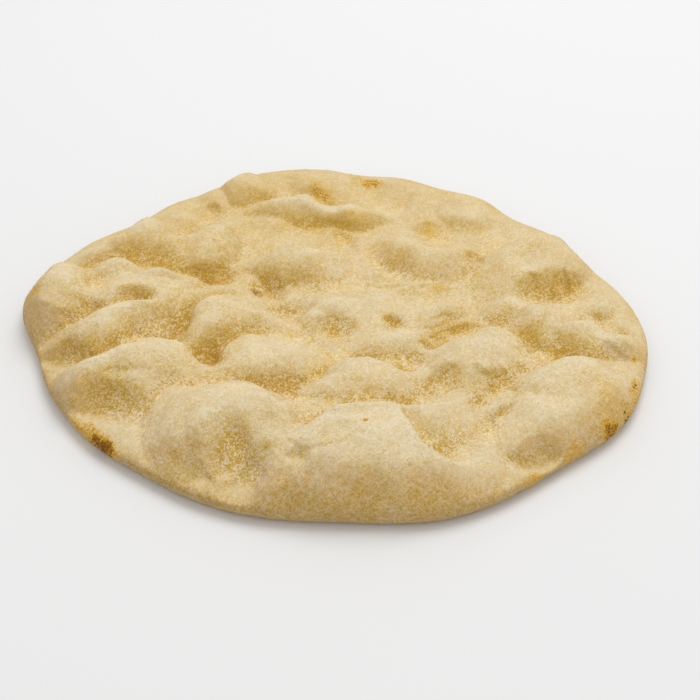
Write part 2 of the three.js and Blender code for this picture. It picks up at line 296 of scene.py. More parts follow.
# Small pits: x, y, half length, half width, turn, depth
PITS = [
    (-35.3, 17.1, 2.6, 2.2, 0, 3),
    (71.5, 38.4, 4.5, 5.5, 0, 2),
    (-78.7, 7.3, 3.4, 2.8, 20, 1.2),
    (50.1, 68.7, 7, 6, 0, 1),
    (51.6, -54.5, 7.5, 5, 20, 1.5),
    (75.4, -58.1, 7, 4, 60, 1.7),
    (66.2, -70.1, 5, 3.6, 0, 1.3),
    (98.1, 35.6, 3, 5, 10, 0.7),
    (-62.4, 84.8, 5.5, 3.4, 0, 0.9),
    (-24.9, -106.5, 0.9, 0.9, 0, 0.7),
]

# Creases (depth above zero) and fine ridges (below zero): x, y of both ends, width, depth
CREASES = [
    (-118.2, 0.5, -110.6, -7.2, 1, 1.3),
    (-103.1, -57.8, -79.3, -53.1, 1.8, 0.7),
    (-17.5, -105.3, -11.2, -111.1, 1.4, 0.8),
    (-11.2, -111.1, 4.4, -109.6, 1.3, 0.9),
    (4.4, -109.6, 14.3, -104.1, 1.2, 0.6),
    (97.7, 17.4, 100.7, 10.6, 1.6, 1.4),
    (107.0, 22.9, 108.4, 15.1, 1.5, -1),
    (112.1, 24.1, 115.5, 15.2, 1.8, 1.6),
    (119.6, 23.9, 120.9, 18.6, 1.5, 0.9),
    (68.2, -55.9, 64.4, -50.6, 1.6, -1.3),
    (68.2, -55.9, 72.1, -49.1, 1.6, -1.5),
    (70.8, -79.5, 76.6, -69.4, 1.7, -1.5),
    (74.2, -80.1, 79.6, -70.7, 1.7, 1.8),
    (92.1, -68.5, 99.9, -56.2, 1.3, -0.6),
    (60.7, -55.2, 62.1, -63.9, 1.2, 0.6),
    (64.3, -54.0, 65.7, -62.2, 1, 0.6),
    (100.4, -51.9, 89.6, -71.9, 1.5, 1.3),
    (124.2, -28.0, 139.2, -36.8, 1.5, -0.7),
    (-138.5, -4.9, -128.8, -11.3, 1.8, -0.7),
    (-128.8, -11.3, -118.8, -13.5, 1.8, -0.8),
    (39.0, -106.2, 47.1, -106.4, 1.4, 0.6),
    (-0.4, 22.3, 43.5, 20.6, 1.4, -0.6),
    (-101.0, -60.3, -87.5, -66.6, 2, 0.7),
    (87.0, -31.1, 100.0, -46.0, 1.5, 0.8),
    (132.7, -35.6, 139.2, -43.1, 1, 0.6),
    (-125.4, -13.3, -111.4, -19.6, 1.6, 0.8),
    (-44.3, -90.2, -28.4, -119.7, 4.6, 2.4),
    (32.7, 16.1, 49.4, 20.5, 1.4, -1),
    (33.5, 11.7, 46.1, 13.3, 1.3, 0.9),
    (25.9, -7.1, 31.6, -9.3, 2, 1.6),
    (43.6, -24.8, 49.8, -30.1, 1.8, 1.5),
    (43.6, -12.3, 60.4, -6.2, 1.3, 0.9),
    (44.8, -19.4, 65.0, -11.3, 1.3, 0.9),
    (48.2, -3.0, 61.8, 0.8, 1.4, -0.8),
]


# Crests of the larger blisters, walked left to right, with a groove along their far side:
# depth of the groove, then points of the crest.
CRESTS = [
    (3.4, (-56.0, -66.7), (-52.2, -66.9), (-48.3, -67.0), (-44.5, -65.8), (-40.7, -63.7), (-36.8, -63.4), (-32.7, -65.6), (-28.6, -68.9), (-24.7, -71.1), (-21.0, -71.0), (-17.4, -70.1), (-13.7, -70.9)),
    (3, (-11.6, -95.6), (-8.4, -96.1), (-5.2, -94.4), (-2.0, -91.1), (1.4, -88.6), (5.0, -87.7), (8.6, -87.6), (12.4, -87.4), (16.1, -86.8), (19.8, -85.8), (23.5, -84.5), (27.2, -83.0)),
    (2.8, (29.8, -81.4), (32.2, -91.7), (34.5, -98.6), (37.0, -102.5), (39.5, -105.4), (42.3, -107.5), (45.3, -108.8), (48.7, -109.7), (52.3, -110.3), (56.0, -110.7)),
    (3.4, (-120.4, -43.1), (-114.7, -48.0), (-109.9, -49.5), (-106.0, -48.1), (-102.5, -45.9), (-99.0, -44.5), (-95.4, -43.6), (-91.9, -41.8), (-88.6, -37.7), (-85.4, -32.7), (-81.7, -30.3), (-77.5, -30.5), (-73.4, -31.6), (-69.3, -33.4), (-65.6, -36.2), (-62.1, -38.8), (-58.7, -41.4), (-55.1, -44.8)),
    (3.2, (-53.8, -45.3), (-51.4, -38.7), (-48.9, -34.3), (-46.1, -31.4), (-43.1, -28.6), (-39.5, -26.2), (-35.7, -24.4), (-31.7, -24.0), (-27.6, -24.9)),
    (3.2, (-65.5, -26.9), (-65.5, -19.2), (-64.9, -13.5), (-63.6, -9.7), (-61.5, -6.6), (-58.6, -4.0), (-55.1, -1.5), (-51.4, 0.9), (-47.7, 2.7), (-43.9, 3.1), (-40.2, 2.4)),
    (2.6, (-116.9, 26.2), (-112.9, 27.3), (-108.8, 27.5), (-104.6, 27.1), (-100.4, 26.5), (-96.4, 25.6), (-92.4, 23.0), (-88.0, 18.1)),
    (2.6, (-86.9, 17.1), (-83.0, 18.0), (-79.1, 18.8), (-75.4, 20.4), (-72.0, 22.0), (-68.5, 21.7), (-65.0, 19.4)),
    (2.8, (-7.0, -58.2), (-3.8, -54.4), (-0.3, -50.1), (3.3, -47.7), (7.2, -47.9), (11.1, -48.4), (15.1, -47.5), (19.0, -46.3), (22.9, -46.0), (26.8, -47.1), (30.7, -48.9), (34.6, -49.0), (38.7, -46.9), (42.7, -44.6)),
    (3.2, (46.7, -35.8), (50.5, -30.7), (54.2, -28.6), (57.7, -29.1), (61.2, -29.9), (64.8, -29.5), (68.6, -28.0), (72.6, -26.5), (76.6, -25.9), (80.5, -26.0), (84.0, -27.0), (87.0, -29.4), (89.6, -32.6), (92.0, -36.0), (94.2, -39.3)),
    (2.8, (101.9, -44.9), (105.3, -43.9), (108.9, -43.7), (112.7, -44.2), (116.7, -44.1), (121.0, -42.5), (125.4, -40.5), (129.5, -39.5)),
    (2.3, (103.8, -27.1), (107.1, -25.0), (111.0, -21.7), (115.5, -17.4), (120.0, -14.0), (123.9, -13.7), (126.7, -16.9), (128.8, -22.2)),
    (2.3, (128.0, -18.8), (131.9, -21.5), (136.1, -22.3), (140.6, -20.8), (145.1, -17.8)),
    (2.2, (30.6, -83.2), (34.4, -82.9), (38.4, -82.3), (42.4, -80.5), (46.6, -77.7), (50.9, -75.3), (55.2, -73.0), (59.6, -70.1)),
]
GROOVE = 2.4  # distance from a crest to the bottom of its groove


def crest_walk(x, y):
    """Groove depth behind the crests, a band along their near side for a painted highlight, and the lee just beyond
    them for painted shade.
    """
    wx = x + 0.7 * noise(x, y, 0 * x, 7.0, 55) + 0.3 * noise(x, y, 0 * x, 3.0, 57)
    wy = y + 0.7 * noise(x, y, 0 * x, 7.0, 56) + 0.3 * noise(x, y, 0 * x, 3.0, 58)
    total, lit, lee = np.zeros_like(x), np.zeros_like(x), np.zeros_like(x)
    for depth, *line in CRESTS:
        line = np.array(line, float)
        length = np.concatenate([[0], np.cumsum(np.hypot(*np.diff(line, axis=0).T))])
        best, side, along = np.full_like(x, 1e9), np.zeros_like(x), np.zeros_like(x)
        for (x0, y0), (x1, y1), start in zip(line[:-1], line[1:], length):
            ex, ey = x1 - x0, y1 - y0
            span = math.hypot(ex, ey)
            s = np.clip(((wx - x0) * ex + (wy - y0) * ey) / span**2, 0.0, 1.0)
            d = np.hypot(wx - x0 - s * ex, wy - y0 - s * ey)
            closer = d < best
            best = np.where(closer, d, best)
            side = np.where(closer, np.sign(ex * (wy - y0) - ey * (wx - x0)), side)
            along = np.where(closer, start + s * span, along)
        behind = np.maximum(best * side, 0.0) / GROOVE
        ends = smooth(0.0, 9.0, along) * smooth(0.0, 9.0, length[-1] - along)
        total = np.maximum(total, depth * ends * behind * np.exp(1 - behind))
        lit = np.maximum(lit, ends * np.exp(-((best - 0.6) / 1.9) ** 2) * (side < 0.5))
        lee = np.maximum(lee, ends * (side > 0.5) * np.exp(-best / 7.0) * depth / 3.0)
    return total, lit, lee


def folds(x, y):
    return crest_walk(x, y)[0]


def pits(x, y):
    wx = x + 0.5 * noise(x, y, 0 * x, 3.0, 51)
    wy = y + 0.5 * noise(x, y, 0 * x, 3.0, 52)
    total = np.zeros_like(x)
    for cx, cy, rx, ry, turn, depth in PITS:
        c, s = math.cos(math.radians(turn)), math.sin(math.radians(turn))
        dx, dy = wx - cx, wy - cy
        d = np.hypot((dx * c + dy * s) / rx, (dy * c - dx * s) / ry)
        total -= depth * np.maximum(1 - d ** 2.4, 0.0) ** 1.4
        total += 0.10 * depth * np.exp(-(((d - 1.15) / 0.22) ** 2))
    return total


def creases(x, y):
    wx = x + 1.1 * noise(x, y, 0 * x, 6.0, 53)
    wy = y + 1.1 * noise(x, y, 0 * x, 6.0, 54)
    total = np.zeros_like(x)
    for x0, y0, x1, y1, width, depth in CREASES:
        ex, ey = x1 - x0, y1 - y0
        s = np.clip(((wx - x0) * ex + (wy - y0) * ey) / (ex * ex + ey * ey), 0.0, 1.0)
        d = np.hypot(wx - x0 - s * ex, wy - y0 - s * ey)
        total -= depth * np.exp(-((d / width) ** 2)) * np.sqrt(np.maximum(4 * s * (1 - s), 0.0))
    return total


def fine(x, y, z):
    """Small lumps and puckers of the dough skin, in millimetres along the surface's normal."""
    calm = 0.55 + 0.45 * smooth(-0.5, 0.6, noise(x, y, z, 26.0, 3))
    lumps = 0.42 * noise(x, y, z, 12.0, 11) + 0.30 * noise(x, y, z, 6.3, 12)
    pucker = 0.20 * noise(x, y, z, 3.4, 13) + 0.13 * noise(x, y, z, 1.9, 14)
    return calm * (lumps + pucker)


# ---------------------------------------------------------------- crust mesh
CELLS, CROWD, FOOT_STEPS = 288, 1.2, 6


def disc_grid(n, crowd):
    line = np.linspace(-1, 1, n + 1)
    a, b = np.meshgrid(line, line)
    wide = np.abs(a) >= np.abs(b)
    rho = np.maximum(np.abs(a), np.abs(b))
    angle = np.where(
        wide,
        np.pi / 4 * b / np.where(a == 0, 1, a),
        np.pi / 2 - np.pi / 4 * a / np.where(b == 0, 1, b),
    )
    angle = np.where(np.where(wide, a < 0, b < 0), angle + np.pi, angle)
    return 1 - (1 - np.minimum(rho, 1)) ** crowd, angle, rho


def border(index):
    return np.concatenate([index[:-1, -1], index[-1, :0:-1], index[:0:-1, 0], index[0, :-1]])


def grid_normals(p):
    n = np.cross(np.gradient(p, axis=1), np.gradient(p, axis=0))
    return n / np.maximum(np.linalg.norm(n, axis=-1, keepdims=True), 1e-9)


def blurred(field, sigma):
    k = np.exp(-0.5 * (np.arange(-3 * int(sigma + 1), 3 * int(sigma + 1) + 1) / sigma) ** 2)
    k /= k.sum()
    for axis in (0, 1):
        field = np.apply_along_axis(lambda row: np.convolve(row, k, mode="same"), axis, field)
    return field


def build_crust():
    share, angle, rho = disc_grid(CELLS, CROWD)
    r = reach(angle) * share
    x, y = r * np.cos(angle), r * np.sin(angle)
    z = top_z(x, y)
    z = z - folds(x, y)
    z = np.where(rho > 0.9999, EDGE_Z, z)
    p = np.stack([x, y, z], -1)
    n = grid_normals(p)
    edge = smooth(0.0, 7.0, inward(x, y))
    move = fine(x, y, z) * (0.35 + 0.65 * edge) + (pits(x, y) + creases(x, y)) * edge
    p = p + n * move[..., None]

    # how far each point lies below its surroundings, from a plan raster of 1 mm cells
    gx, gy = np.meshgrid(np.arange(-160, 161.0), np.arange(-140, 141.0))
    inside = (np.hypot(gx, gy) < reach(np.arctan2(gy, gx))).astype(float)
    gz = top_z(gx, gy)
    gz = gz - folds(gx, gy) + pits(gx, gy) + creases(gx, gy)
    def below(sigma):
        mean = blurred(gz * inside, sigma) / np.maximum(blurred(inside, sigma), 1e-3)
        fx, fy = np.clip(p[..., 0] + 160, 0, 319.999), np.clip(p[..., 1] + 140, 0, 279.999)
        ix, iy = fx.astype(int), fy.astype(int)
        fx, fy = fx - ix, fy - iy
        return (mean[iy, ix] * (1 - fx) * (1 - fy) + mean[iy, ix + 1] * fx * (1 - fy)
                + mean[iy + 1, ix] * (1 - fx) * fy + mean[iy + 1, ix + 1] * fx * fy) - p[..., 2]
    low = below(9.0)
    nick = below(3.0)

    verts, faces = [p.reshape(-1, 3)], []
    index = np.arange((CELLS + 1) ** 2).reshape(CELLS + 1, CELLS + 1)
    faces.append(np.stack([index[:-1, :-1], index[:-1, 1:], index[1:, 1:], index[1:, :-1]], -1).reshape(-1, 4))
    count = index.size
    top_faces = len(faces[0])

    # lower edge, a little ragged, ring by ring down to the underside
    ring = border(index)
    turn = angle.ravel()[ring]
    start = p.reshape(-1, 3)[ring]
    cx, cy = np.cos(turn), np.sin(turn)
    ragged = 0.45 * noise(120 * cx, 120 * cy, 0 * cx, 5.0, 31) + 0.35 * noise(120 * cx, 120 * cy, 0 * cx, 2.2, 32)
    ragged += 0.6 * noise(120 * cx, 120 * cy, 0 * cx, 17.0, 33)
    for step in range(1, FOOT_STEPS + 1):
        bend = step / FOOT_STEPS * math.pi / 2
        blend = math.sin(bend)
        rr = np.hypot(start[:, 0], start[:, 1]) - FOOT_INSET * (1 - math.cos(bend)) - np.abs(ragged) * blend
        zz = start[:, 2] * (1 - blend)
        if step == FOOT_STEPS:
            zz = 0.30 * np.maximum(noise(120 * cx, 120 * cy, 0 * cx, 9.0, 34), 0.0)
        verts.append(np.stack([rr * cx, rr * cy, zz], -1))
        nxt = count + np.arange(len(ring))
        count += len(ring)
        faces.append(np.stack([ring, nxt, np.roll(nxt, -1), np.roll(ring, -1)], -1))
        ring = nxt
    last = verts[-1]

    # underside: a coarser grid, faintly hollow here and there, stitched four steps to one
    coarse = CELLS // 4
    share, angle, rho = disc_grid(coarse, CROWD)
    r = (reach(angle) - FOOT_INSET - 2.5) * share
    ux, uy = r * np.cos(angle), r * np.sin(angle)
    uz = 0.55 * np.maximum(noise(ux, uy, 0 * ux, 21.0, 35) + 0.4 * noise(ux, uy, 0 * ux, 9.0, 36), 0.0)
    verts.append(np.stack([ux, uy, uz], -1).reshape(-1, 3))
    index = count + np.arange((coarse + 1) ** 2).reshape(coarse + 1, coarse + 1)
    faces.append(np.stack([index[:-1, :-1], index[1:, :-1], index[1:, 1:], index[:-1, 1:]], -1).reshape(-1, 4))
    inner = border(index)
    near = np.roll(np.repeat(inner, 4), 2)  # the inner vertex each outer step is closest to
    outer, outer2 = ring, np.roll(ring, -1)
    near2 = np.roll(near, -1)
    quads = [faces[0]] + faces[1:]
    tris = []
    for a, b, c, d in zip(outer, outer2, near, near2):
        if c == d:
            tris.append((a, c, b))
        else:
            tris += [(a, c, d), (a, d, b)]
    verts = np.concatenate(verts)
    quads = np.concatenate(quads)
    loops = np.concatenate([quads.ravel(), np.array(tris).ravel()])
    sizes = np.concatenate([np.full(len(quads), 4), np.full(len(tris), 3)])
    return p, low, nick, verts, loops, sizes, top_faces


# ---------------------------------------------------------------- baked colour, with painted shade and highlight
# Browned and burnt places: x, y, half length, half width, turn, browning, charring
SPOTS = [
    (-101.4, -84.9, 22, 4.6, -48, 0.48, 0),
    (-97.7, -88.7, 11, 3.1, -48, 1.32, 0),
    (-8.7, 100.8, 5, 5, 10, 0.46, 0),
    (-3.4, 98.7, 6.5, 4.5, -25, 0.42, 0),
    (20.7, 111.8, 6, 5, -10, 0.6, 0),
    (14.2, 114.5, 6, 4, 0, 0.22, 0),
    (50.1, 68.7, 6.5, 5, 0, 0.2, 0),
    (136.9, -55.7, 9, 3.4, 80, 0.52, 0.34),
    (131.3, -69.8, 8, 3.2, 62, 0.42, 0.34),
    (123.5, -80.1, 5.6, 4.4, 45, 1, 0.2),
    (123.6, -70.5, 16, 12, 65, 0.15, 0),
    (106.0, -93.8, 7, 3, 35, 0.36, 0),
    (87.5, -107.7, 9, 3, 30, 0.32, 0),
    (16.0, -98.5, 1.5, 1.2, 0, 1, 0),
    (139.8, -36.3, 1.6, 1.3, 0, 0.9, 0),
    (-139.6, -0.6, 5, 4, 0, 0.28, 0),
    (53.1, 17.3, 6, 4.5, 0, 0.18, 0),
    (-24.9, -106.5, 1, 0.9, 0, 0.7, 0),
]


# Patches with less flour (amount above zero) and more flour (below zero); some are rubbed bare, others are painted
# shade on shaded slopes and hollows and painted light on shaded faces: x, y, half length, half width, turn, amount
FLOUR_AND_SHADE_PATCHES = [
    (-116.7, -32.2, 20, 6, -10, 0.34),
    (-103.0, -30.7, 16, 6, 20, 0.16),
    (53.1, 17.3, 7, 6, 0, 0.45),
    (50.5, 67.7, 7, 6, 0, 0.3),
    (-68.5, 39.8, 6, 5, 0, 0.35),
    (28.2, -8.5, 6, 5, -30, 0.3),
    (47.4, -24.1, 7, 4, 0, 0.3),
    (51.6, -12.3, 15, 10, 10, 0.14),
    (-3.0, 71.6, 27, 7, -3, 0.3),
    (113.2, -33.4, 18, 7, 0, 0.2),
    (102.3, -38.2, 5, 4, 0, 0.25),
    (-15.0, 22.6, 15, 10, 0, 0.07),
    (-74.7, 34.5, 18, 8, -10, 0.12),
    (-56.9, -35.1, 9, 8, 0, 0.1),
    (57.3, -13.0, 15, 6, 25, 0.26),
    (79.1, -8.7, 18, 5, 0, 0.2),
    (92.2, -28.9, 9, 9, 0, 0.2),
    (-114.5, 35.4, 26, 7, 10, 0.14),
    (-124.4, -3.3, 10, 4, -20, 0.2),
    (-10.3, 79.1, 30, 6, -4, -0.26),
    (77.1, -75.3, 4, 3, -60, 0.3),
    (-101.9, -61.1, 16, 9, 10, 0.22),
    (131.4, -33.5, 15, 2.8, -46, -0.24),
    (119.1, -61.6, 16, 10, 0, 0.26),
    (111.5, 18.3, 13, 7, 0, 0.27),
    (-38.7, -100.0, 10, 8, 0, 0.14),
    (0.1, -29.6, 12, 8, 0, -0.14),
    (-132.4, -19.2, 8, 10, 0, -0.12),
    (5.3, -108.6, 10, 7, 0, 0.1),
    (-75.4, 44.8, 10, 6, 0, 0.07),
]


def flour_and_shade_patches(x, y, z):
    wx = x + 2.0 * noise(x, y, z, 6.0, 65) + 0.8 * noise(x, y, z, 2.2, 67)
    wy = y + 2.0 * noise(x, y, z, 6.0, 66) + 0.8 * noise(x, y, z, 2.2, 68)
    total = np.zeros_like(x)
    for cx, cy, rx, ry, turn, amount in FLOUR_AND_SHADE_PATCHES:
        c, s = math.cos(math.radians(turn)), math.sin(math.radians(turn))
        dx, dy = wx - cx, wy - cy
        d2 = ((dx * c + dy * s) / rx) ** 2 + ((dy * c - dx * s) / ry) ** 2
        total += amount * np.maximum(1 - d2, 0.0)
    return total


def spots(x, y, z):
    toast, char = np.zeros_like(x), np.zeros_like(x)
    wx = x + 1.6 * noise(x, y, z, 4.5, 61) + 0.4 * noise(x, y, z, 2.8, 63)
    wy = y + 1.6 * noise(x, y, z, 4.5, 62) + 0.4 * noise(x, y, z, 2.8, 64)
    for cx, cy, rx, ry, turn, brown, burnt in SPOTS:
        c, s = math.cos(math.radians(turn)), math.sin(math.radians(turn))
        k = min(1.0, min(rx, ry) / 3.0)
        dx, dy = x + (wx - x) * k - cx, y + (wy - y) * k - cy
        d2 = ((dx * c + dy * s) / rx) ** 2 + ((dy * c - dx * s) / ry) ** 2
        fall = np.maximum(1 - d2, 0.0) ** 0.8
        toast = np.maximum(toast, brown * fall)
        char = np.maximum(char, burnt * fall ** 1.5)
    return toast, char


P, LOW, NICK, VERTS, LOOPS, SIZES, TOP_FACES = build_crust()
NORMALS = grid_normals(P)

# Flour lies on what faces up and stands proud; bare golden dough shows on steep sides and, partly as painted shade,
# in hollows. Painted shade also goes in as less flour on faces turned away from the key lamp, in the grooves and in
# the lee behind the crests, with a painted highlight of more flour along the crests' near side; the listed patches
# add rubbed-bare places, painted shade and painted light.
px, py, pz = P[..., 0], P[..., 1], P[..., 2]
patch = 0.5 * noise(px, py, pz, 15.0, 71) + 0.35 * noise(px, py, pz, 6.0, 72) + 0.3 * noise(px, py, pz, 2.6, 73)
RIM = 1 - smooth(8.0, 30.0, inward(px, py))  # 1 along the outer wall, 0 inside
# groove depth, a band along the crests' near side for a painted highlight, and the lee beyond them for painted shade
BEHIND, CREST, LEE = crest_walk(px, py)
FLOUR_AND_SHADE = (
    0.110
    + 0.14 * RIM * smooth(0.75, 0.45, NORMALS[..., 2])
    + 0.80 * np.maximum(NORMALS[..., 2] - 0.5, 0.0)
    # painted shade: less flour on faces turned away from the key lamp
    + 0.34 * NORMALS[..., 1]
    + 0.25 * np.maximum(0.45 - NORMALS[..., 2], 0.0)
    - 0.042 * np.clip(LOW, -6, 0)
    # less flour in the hollows: bare dough, and partly painted shade
    - 0.052 * np.clip(LOW, 0, 6)
    - 0.022 * np.clip(LOW - 1.5, 0, 5) * (1 - RIM)
    + 0.030 * np.clip(NICK, -2, 3)
    - 0.00135 * py
    # painted shade in the grooves and in the lee behind the crests; painted highlight along the crests
    - 0.080 * BEHIND
    - 0.27 * LEE
    + 0.10 * CREST
    + 0.27 * patch
    # listed patches: rubbed-bare places, painted shade and painted light
    - flour_and_shade_patches(px, py, pz)
)
FLOUR_AND_SHADE = np.clip(FLOUR_AND_SHADE, -0.45, 1.25)
TOAST, CHAR = spots(px, py, pz)
FLOUR_AND_SHADE = FLOUR_AND_SHADE - 0.8 * np.maximum(FLOUR_AND_SHADE, 0.0) * np.minimum(TOAST * 1.4, 1.0)

n_top = P.shape[0] * P.shape[1]
rest = len(VERTS) - n_top
edge_pts = VERTS[n_top:]
t2, c2 = spots(edge_pts[:, 0], edge_pts[:, 1], edge_pts[:, 2])
flour_and_shade_all = np.concatenate([FLOUR_AND_SHADE.ravel(), np.full(rest, 0.12)])
low_all = np.concatenate([np.clip(LOW.ravel() / 6.0, -1, 1), np.zeros(rest)])
# Painted shade kept as a multiplier: darker at the foot of the outer wall and on its steep left-facing parts, and a
# little lighter in the inner hollows as painted bounce light; the edge rings and underside take a flat painted shade
# of 0.72.
foot = (1 - smooth(3.0, 17.0, pz)) * smooth(0.75, 0.35, NORMALS[..., 2]) * (1 - smooth(6.0, 16.0, inward(px, py)))
wall = RIM * smooth(0.92, 0.55, NORMALS[..., 2]) * smooth(0.5, -0.5, NORMALS[..., 0])
hollow = smooth(0.0, 3.5, LOW) * (1 - RIM)
shade = (1 - 0.20 * foot) * (1 - 0.14 * wall) * (1 + 0.06 * hollow)
shade_all = np.concatenate([shade.ravel(), np.full(rest, 0.72)])
outer_all = np.concatenate([(RIM * smooth(0.95, 0.60, NORMALS[..., 2])).ravel(), np.ones(rest)])
grain = (1 - 0.60 * (1 - smooth(4.0, 18.0, inward(px, py)))) * (1 - 0.48 * smooth(-20.0, 105.0, py))
grain = grain * (1 - 0.36 * smooth(0.80, 0.97, NORMALS[..., 2]) * smooth(-2.0, 1.0, LOW))
grain_all = np.concatenate([grain.ravel(), np.full(rest, 0.45)])
ring_count = 4 * CELLS * FOOT_STEPS
t2[ring_count:], c2[ring_count:] = 0.0, 0.0  # the underside keeps its own browning
toast_all = np.concatenate([TOAST.ravel(), t2])
char_all = np.concatenate([CHAR.ravel(), c2])
under_all = np.zeros(len(VERTS))
under_all[n_top + 4 * CELLS * (FOOT_STEPS - 2):] = 1.0

# the solid is centred on its own box, so this mesh is moved the same way
lo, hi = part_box("pinsa_crust")
line = np.linspace(0, 2 * np.pi, 7200, endpoint=False)
rim = reach(line)
SHIFT = np.array([
    (lo.x + hi.x) / 2 / MM - (np.max(rim * np.cos(line)) + np.min(rim * np.cos(line))) / 2,
    (lo.y + hi.y) / 2 / MM - (np.max(rim * np.sin(line)) + np.min(rim * np.sin(line))) / 2,
    lo.z / MM,
])


def add_mesh(name, verts, loops, sizes, smooth_faces=True):
    mesh = bpy.data.meshes.new(name)
    mesh.vertices.add(len(verts))
    mesh.vertices.foreach_set("co", np.ascontiguousarray((verts + SHIFT) * MM, dtype=np.float32).ravel())
    mesh.loops.add(len(loops))
    mesh.loops.foreach_set("vertex_index", np.ascontiguousarray(loops, dtype=np.int32))
    mesh.polygons.add(len(sizes))
    starts = np.concatenate([[0], np.cumsum(sizes)[:-1]]).astype(np.int32)
    mesh.polygons.foreach_set("loop_start", starts)
    mesh.polygons.foreach_set("loop_total", np.ascontiguousarray(sizes, dtype=np.int32))
    mesh.polygons.foreach_set("use_smooth", np.full(len(sizes), smooth_faces))
    mesh.update(calc_edges=True)
    mesh.validate()
    obj = bpy.data.objects.new(name, mesh)
    bpy.context.scene.collection.objects.link(obj)
    return obj


def attribute(obj, name, values):
    layer = obj.data.attributes.new(name, "FLOAT", "POINT")
    layer.data.foreach_set("value", np.ascontiguousarray(values, dtype=np.float32))


def uv_map(obj, u, v):
    layer = obj.data.uv_layers.new(name="OFBake")
    layer.data.foreach_set("uv", np.ascontiguousarray(np.stack([u, v], -1), dtype=np.float32).ravel())


crust = add_mesh("crust", VERTS, LOOPS, SIZES)
attribute(crust, "flour_and_shade", flour_and_shade_all)
attribute(crust, "low", low_all)
attribute(crust, "toast", toast_all)
attribute(crust, "char", char_all)
attribute(crust, "under", under_all)
attribute(crust, "shade", shade_all)
attribute(crust, "outer", outer_all)
attribute(crust, "grain", grain_all)
loop_face = np.repeat(np.arange(len(SIZES)), SIZES)
lx, ly = VERTS[LOOPS, 0], VERTS[LOOPS, 1]
on_top = loop_face < TOP_FACES
SPAN = 306.0
uv_map(
    crust,
    np.where(on_top, 0.005 + 0.75 * (lx / SPAN + 0.5), 0.62 + 0.37 * (lx / SPAN + 0.5)),
    np.where(on_top, 0.005 + 0.75 * (ly / SPAN + 0.5), 0.655 + 0.37 * (0.5 - ly / SPAN)),
)

# ---------------------------------------------------------------- semolina grains
GRAINS = 21000
rng = np.random.default_rng(4127)
a, b, c, d = P[:-1, :-1], P[:-1, 1:], P[1:, 1:], P[1:, :-1]
cross = np.cross(c - a, d - b) / 2
area = np.linalg.norm(cross, axis=-1)
mid = (a + b + c + d) / 4
clump = noise(mid[..., 0], mid[..., 1], mid[..., 2], 17.0, 81) + 0.6 * noise(mid[..., 0], mid[..., 1], mid[..., 2], 6.0, 82)
weight = area * (0.35 + 0.65 * smooth(-0.9, 0.9, clump)) * smooth(0.0, 4.0, inward(mid[..., 0], mid[..., 1]))
cell = rng.choice(weight.size, GRAINS, p=(weight / weight.sum()).ravel())
s, t = rng.random(GRAINS)[:, None], rng.random(GRAINS)[:, None]
ga, gb, gc, gd = (q.reshape(-1, 3)[cell] for q in (a, b, c, d))
at = (ga * (1 - s) + gb * s) * (1 - t) + (gd * (1 - s) + gc * s) * t
up = cross.reshape(-1, 3)[cell]
up = up / np.linalg.norm(up, axis=1, keepdims=True)
up = np.where(up[:, 2:3] < 0, -up, up)
turn = rng.normal(size=(GRAINS, 3))
e1 = np.cross(up, turn)
e1 /= np.linalg.norm(e1, axis=1, keepdims=True)
e2 = np.cross(up, e1)
size = 0.15 + 0.16 * rng.random(GRAINS) ** 2.2
stretch = rng.uniform(0.75, 1.35, size=(GRAINS, 6))
axes = np.stack([e1, -e1, e2, -e2, 0.8 * up, -0.8 * up], 1)
lean = rng.normal(scale=0.22, size=(GRAINS, 6, 3))
corners = at[:, None] + up[:, None] * (0.10 * size)[:, None, None] + (axes * stretch[..., None] + lean) * size[:, None, None]
FACES8 = np.array([(0, 2, 4), (2, 1, 4), (1, 3, 4), (3, 0, 4), (2, 0, 5), (1, 2, 5), (3, 1, 5), (0, 3, 5)])
tri = (np.arange(GRAINS)[:, None, None] * 6 + FACES8).reshape(-1, 3)
grains = add_mesh("semolina_grains", corners.reshape(-1, 3), tri.ravel(), np.full(len(tri), 3), smooth_faces=False)
attribute(grains, "tint", np.repeat(rng.random(GRAINS), 6))
# each grain takes the flour cover beneath it, painted shade and highlight included
local = FLOUR_AND_SHADE[:-1, :-1].ravel()[cell]
attribute(grains, "flour_and_shade", np.repeat(local, 6))
gt, gch = spots(at[:, 0], at[:, 1], at[:, 2])
attribute(grains, "toast", np.repeat(np.maximum(gt, 0.0), 6))
gverts = corners.reshape(-1, 3)[tri.ravel()]
uv_map(grains, 0.01 + 0.98 * (gverts[:, 0] / SPAN + 0.5), 0.01 + 0.98 * (gverts[:, 1] / SPAN + 0.5))


